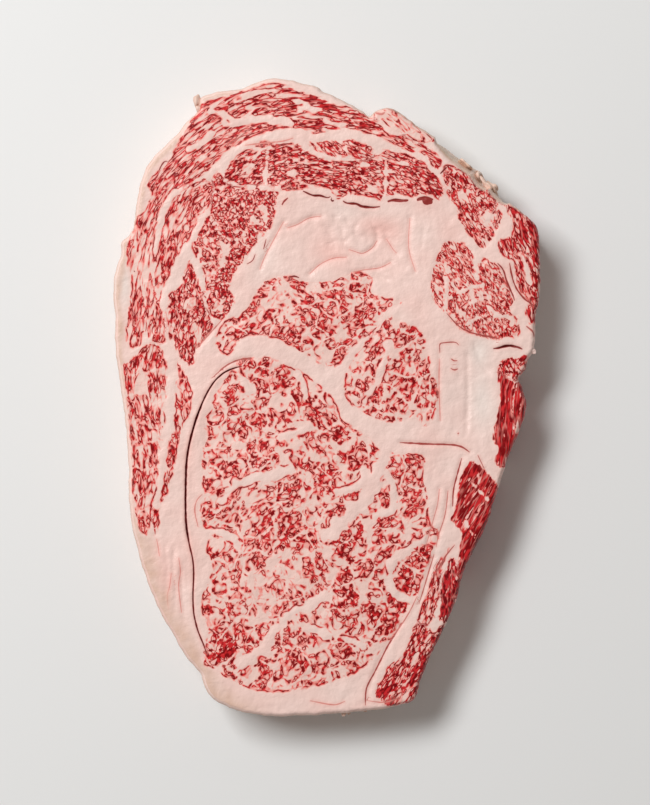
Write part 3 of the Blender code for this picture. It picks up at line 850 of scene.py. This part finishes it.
# The strands thin out towards the border of their muscle and between its lobules, which are
# 9 mm across
blur = add("TexNoise", {"Vector": place, "Scale": 1 / MUSCLE_BORDER, "Detail": 1})
inward = add("Math", [blur, 1.6, mark["lean"]], operation="MULTIPLY_ADD")
edge = add("Math", [inward, 0.375, -0.525], operation="MULTIPLY_ADD")
edge = add("Math", [edge, 0], operation="MINIMUM")
around = add("TexNoise", {"Vector": place, "Scale": 1 / LOBULE_BEND, "Detail": 2}).outputs["Color"]
around = add("VectorMath", [around, (0.018, 0.018, 0), place], operation="MULTIPLY_ADD")
lobules = add("TexVoronoi", {"Vector": around, "Scale": 1 / LOBULES}, feature="DISTANCE_TO_EDGE",
              voronoi_dimensions="2D")
lobules = add("MapRange", [lobules, 0, 0.1, -0.22, 0])
coarse = add("MapRange", [mark["bundle"], 0.6, 1, 0.25, 1])
edge = add("Math", [lobules, coarse, edge], operation="MULTIPLY_ADD")
full_width = add("Math", [mark["strand"], edge], operation="ADD")
full_width = add("Math", [full_width, 0.03], operation="SUBTRACT")

# They curl round small pockets of fat, so they are drawn as broken, beaded rings round the
# middles of warped cells. Three sets of rings lie over each other.
curls = []
for seed, radius, size in ((0, 0.40, 0.9), (31.7, 0.37, 1.05), (57.3, 0.43, 1.2)):
    at = add("VectorMath", [fibres, (seed, seed, seed)], operation="ADD")
    warp = add("TexNoise", {"Vector": at, "Scale": 1, "Detail": 1}).outputs["Color"]
    warped = add("VectorMath", [warp, (1.2, 1.2, 1.2), at], operation="MULTIPLY_ADD")
    cells = add("TexVoronoi", {"Vector": warped, "Scale": size, "Smoothness": 0.12},
                feature="SMOOTH_F1", voronoi_dimensions="2D")
    gap = add("Math", [cells, radius], operation="SUBTRACT")
    gap = add("Math", [gap], operation="ABSOLUTE")
    width = full_width
    for scale, levels in ((2.6, (0.3, 0.7, -0.12, 0.06)), (0.8, (0.38, 0.48, -0.3, 0))):
        change = add("TexNoise", {"Vector": at, "Scale": scale, "Detail": 0})
        change = add("MapRange", [change, *levels])
        width = add("Math", [width, change], operation="ADD")
    curls.append(add("Math", [width, gap], operation="SUBTRACT"))
band = add("Math", [curls[0], curls[1]], operation="MAXIMUM")
band = add("Math", [band, curls[2]], operation="MAXIMUM")

# A thin broken strand runs round the border of each muscle
border = add("Math", [inward, 1.15], operation="SUBTRACT")
border = add("Math", [border], operation="ABSOLUTE")
pieces = add("TexNoise", {"Vector": fibres, "Scale": 1.3, "Detail": 0})
pieces = add("MapRange", [pieces, 0.48, 0.58, -0.4, 0.2])
border = add("Math", [pieces, border], operation="SUBTRACT")
border = add("Math", [border, 0.35], operation="MULTIPLY")
band = add("Math", [band, border], operation="MAXIMUM")

# Inside the bands every small bundle of fibres has its own thin red outline, and some bundles
# are red all through. The finest real outlines, 0.1 mm wide, are drawn coarser so that they show.
warp = add("TexNoise", {"Vector": fibres, "Scale": 2, "Detail": 2}).outputs["Color"]
bundles = add("VectorMath", [warp, (0.5, 0.5, 0.5), fibres], operation="MULTIPLY_ADD")
bundles = add("VectorMath", [bundles, (2.3, 1.5, 1)], operation="MULTIPLY")
bundles = add("VectorMath", {0: bundles, "Scale": mark["bundle"]}, operation="SCALE")
from_line = add("TexVoronoi", {"Vector": bundles, "Scale": 1}, feature="DISTANCE_TO_EDGE",
                voronoi_dimensions="2D")
line_width = add("TexNoise", {"Vector": fibres, "Scale": 3.1, "Detail": 0})
line_width = add("MapRange", [line_width, 0.35, 0.65, -0.15, 0.38])
solid = add("TexNoise", {"Vector": fibres, "Scale": 1.4, "Detail": 1})
solid = add("Math", [mark["strand"], 1.3, solid], operation="MULTIPLY_ADD")
solid = add("MapRange", [solid, 0.78, 0.92, 0, 0.5])
line_width = add("Math", [line_width, solid], operation="ADD")
lines = add("Math", [line_width, from_line], operation="SUBTRACT")
strand_rim = add("MapRange", [band, 0, 0.15, 0.14, -0.13])
lines = add("Math", [lines, strand_rim], operation="MAXIMUM")
lines = add("Math", [lines, band], operation="MINIMUM")
red = add("MapRange", [lines, -0.04, 0.03], interpolation_type="SMOOTHSTEP")
halo = add("MapRange", [lines, -0.17, -0.02])
tones = add("TexNoise", {"Vector": fibres, "Scale": 3.3, "Detail": 1})
tones = add("MapRange", [tones, 0.4, 0.55])

# The fat is whiter or pinker in places and takes up colour from the lean beside it, and the lean
# varies between bright crimson and a deep dark red
# Where the fat is whitest this is partly painted sheen
whiter_and_sheen = add("MapRange", [mark["fat_tint_and_sheen"], -1, 0, 1, 0])
pinker = add("MapRange", [mark["fat_tint_and_sheen"], 0, 1])
in_muscle = add("MapRange", [mark["lean"], -1, 1.5])
fat = "#F2D1C8"
for share, tint in (
    (whiter_and_sheen, "#EDDCD4"), (pinker, "#F0B7AC"), (in_muscle, "#F1CCC2"), (halo, "#F48A80"),
):
    fat = add("Mix", {0: share, 6: fat, 7: tint}, data_type="RGBA")
bright = add("Mix", {0: mark["shade"], 6: "#D42A2C", 7: "#CC2A30"}, data_type="RGBA")
dark_red = add("Mix", {0: mark["shade"], 6: "#88060B", 7: "#74040C"}, data_type="RGBA")
meat = add("Mix", {0: tones, 6: bright, 7: dark_red}, data_type="RGBA")

# In the leanest muscles the fat shows as thin pink lines between the bundles
leanest = add("MapRange", [mark["strand"], 0.27, 0.36])
pink_line = add("MapRange", [from_line, 0.02, 0.13, 0.9, 0])
pink_line = add("Math", [pink_line, leanest], operation="MULTIPLY")
gaps = add("TexNoise", {"Vector": fibres, "Scale": 1.7, "Detail": 1})
gaps = add("MapRange", [gaps, 0.4, 0.56])
pink_line = add("Math", [pink_line, gaps], operation="MULTIPLY")
meat = add("Mix", {0: pink_line, 6: meat, 7: "#DE8078"}, data_type="RGBA")
colour = add("Mix", {0: red, 6: fat, 7: meat}, data_type="RGBA")

# Vessels and threads stain the fat, with a faint blush beside them. In the openings the same
# colours are painted shade of the gap.
off_thread = add("Math", [mark["thread_gap"]], operation="ABSOLUTE")
in_thread = add("Math", [mark["thread_half"], off_thread], operation="SUBTRACT")
thread_and_gap_shade = add("MapRange", [in_thread, -0.18, 0.06], interpolation_type="SMOOTHSTEP")
blush = add("MapRange", [in_thread, -1.2, 0, 0, 0.3])
stain_and_gap_shade = "#E39187"
for start, end, tint in ((0, 0.5, "#A23A36"), (0.5, 1, "#3A0409")):
    darker = add("MapRange", [mark["thread_and_gap_shade_tone"], start, end])
    stain_and_gap_shade = add("Mix", {0: darker, 6: stain_and_gap_shade, 7: tint}, data_type="RGBA")

# The outer skin lets the fat show through in soft blotches, and is beige where it has dried
covered = add("MapRange", [mark["skin"], 0, 0.5])
dried = add("MapRange", [mark["skin"], 0.55, 1])
blotches = add("TexNoise", {"Vector": place, "Scale": 1 / SKIN_BLOTCHES, "Detail": 4})
blotches = add("MapRange", [blotches, 0.35, 0.65])
moist = add("Mix", {0: blotches, 6: "#DAB5A1", 7: "#E4C4B6"}, data_type="RGBA")
beige = add("Mix", {0: blotches, 6: "#D6BBA3", 7: "#EACBBB"}, data_type="RGBA")
hide = add("Mix", {0: dried, 6: moist, 7: beige}, data_type="RGBA")
for share, layer in ((blush, "#EFA398"), (thread_and_gap_shade, stain_and_gap_shade), (covered, hide)):
    colour = add("Mix", {0: share, 6: colour, 7: layer}, data_type="RGBA")

# The grain and the soft folds of the fat stand up a little, and the lean lies lower. Lean is
# wetter than fat, and so smoother.
grain = add("TexNoise", {"Vector": place, "Scale": 1 / GRAIN, "Detail": 2})
folds = add("TexNoise", {"Vector": place, "Scale": 1 / FOLDS, "Detail": 3, "Distortion": 0.6})
relief = add("Math", [folds, 2.2, grain], operation="MULTIPLY_ADD")
relief = add("Math", [red, -0.35, relief], operation="MULTIPLY_ADD")
relief = add("Bump", {"Height": relief, "Strength": 0.38, "Distance": RELIEF})
wet = add("MapRange", [grain, 0.35, 0.65, 0.46, 0.3])
wet = add("Math", [red, -0.08, wet], operation="MULTIPLY_ADD")

beef_shader = add("BsdfPrincipled", {
    "Base Color": colour, "Roughness": wet, "IOR": 1.4, "Specular IOR Level": 0.26,
    "Normal": relief,
})
add("OutputMaterial", [beef_shader])
slab.materials.append(beef)

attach(slice_, "root")
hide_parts("steak")

# ------------
# The floor, a plain pale worktop 4 m square, with a honed matt face that throws no reflection.
# The slice lies loose on it.

FLOOR_GAP = 0.2 * MM
floor_mesh = bpy.data.meshes.new("floor")
floor_mesh.from_pydata([(-2, -2, 0), (2, -2, 0), (2, 2, 0), (-2, 2, 0)], [], [(0, 1, 2, 3)])
floor = bpy.data.objects.new("floor", floor_mesh)
floor.location.z = low.z - FLOOR_GAP
bpy.context.scene.collection.objects.link(floor)
worktop = bpy.data.materials.new("matt_white_worktop")
worktop.use_nodes = True
tree = worktop.node_tree
tree.nodes.clear()
worktop_shader = add("BsdfPrincipled", {"Base Color": "#E7E7E7", "Roughness": 0.6})
add("OutputMaterial", [worktop_shader])
floor_mesh.materials.append(worktop)

# ------------
# The light: one large softbox high at the upper left, which throws a soft shadow down to the
# right, and the faint warm light of the room

lamp = bpy.data.lights.new("softbox", "AREA")
lamp.shape = "RECTANGLE"
lamp.size = 0.95
lamp.size_y = 0.5
lamp.energy = 31.0
lamp.color = (0.985, 1, 1)
softbox = bpy.data.objects.new("softbox", lamp)
softbox.location = (-0.84, 0.73, 1.48)
softbox.rotation_euler = (-softbox.location).to_track_quat("-Z", "Y").to_euler()
bpy.context.scene.collection.objects.link(softbox)

room = bpy.data.worlds.new("studio")
room.use_nodes = True
room.node_tree.nodes["Background"].inputs["Color"].default_value = (1, 0.92, 0.85, 1)
room.node_tree.nodes["Background"].inputs["Strength"].default_value = 0.25
bpy.context.scene.world = room
bpy.context.scene.view_settings.view_transform = "Standard"

# ------------
# The camera stands 0.75 m above the cut face and looks straight down on it, over a field
# 268 mm high

CAMERA_HEIGHT = 0.75
FIELD_HEIGHT = 0.2683
SENSOR_HEIGHT = 24
lens = bpy.data.cameras.new("camera")
lens.sensor_fit = "VERTICAL"
lens.sensor_height = SENSOR_HEIGHT
lens.lens = SENSOR_HEIGHT * CAMERA_HEIGHT / FIELD_HEIGHT
camera = bpy.data.objects.new("camera", lens)
camera.location = (-0.00083, -0.00167, low.z + THICKNESS * MM + CAMERA_HEIGHT)
bpy.context.scene.collection.objects.link(camera)
bpy.context.scene.camera = camera
